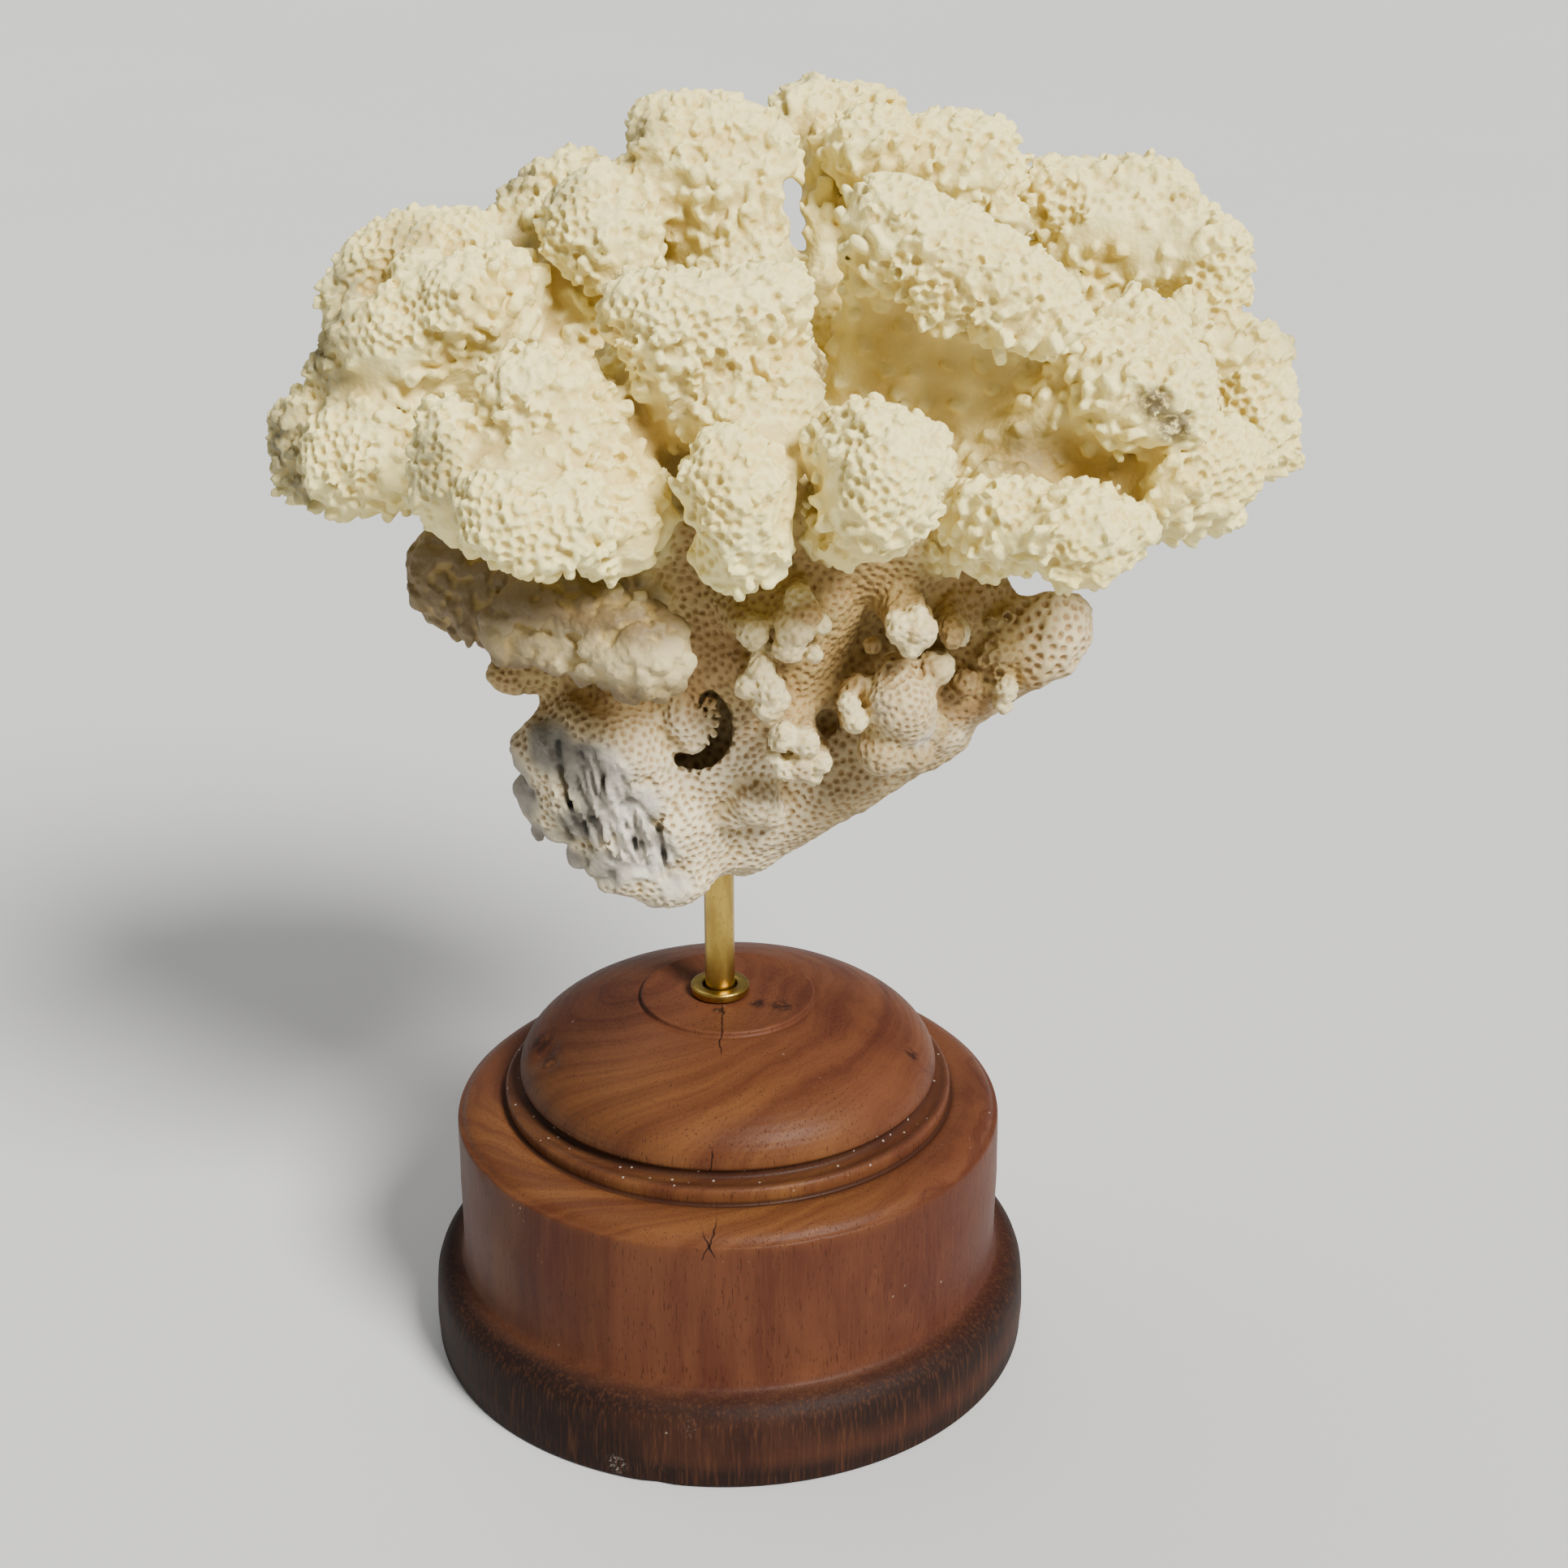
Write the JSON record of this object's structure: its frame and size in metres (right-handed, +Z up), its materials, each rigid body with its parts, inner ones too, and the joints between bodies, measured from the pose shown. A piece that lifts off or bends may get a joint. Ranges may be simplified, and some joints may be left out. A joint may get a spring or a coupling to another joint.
{
  "type": "mounted coral specimen",
  "caption": "Head of cauliflower coral with lumpy, thick-rimmed fronds and a broken stump, held by a brass rod over a turned wooden stand with a domed top.",
  "frame": {"origin": "middle of the wooden stand's underside", "axes": "+Z up through the stand and the coral; -Y is the side it is seen from; +X to that viewer's right"},
  "size_m": [0.1877, 0.1278, 0.2511],
  "materials": {
    "turned_wood": "waxed, satin",
    "aged_brass": "aged, satin",
    "old_coral": "matt, pitted",
    "coral": "matt, waxy in the hollows"
  },
  "bodies": {
    "root": {"turned_stand": "turned_wood", "brass_collar": "aged_brass", "brass_rod": "aged_brass", "trunk": "old_coral", "frond_front_left": "coral", "frond_front_middle": "coral", "frond_front_knob": "coral", "frond_centre": "coral", "frond_right_centre": "coral", "frond_left_low": "coral", "frond_left_high": "coral", "frond_upper_left": "coral", "frond_top_left": "coral", "frond_top_middle": "coral", "frond_top_right": "coral", "frond_right_high": "coral", "frond_right_far": "coral", "frond_right_upper": "coral", "frond_right_low": "coral", "shelf_left": "coral", "stub_right": "coral", "frond_back_left": "coral", "frond_back_middle": "coral", "frond_back_right": "coral", "frond_back_far_right": "coral", "frond_back_far_left": "coral", "shelf_back": "coral", "stub_back": "coral"}
  },
  "joints": []
}
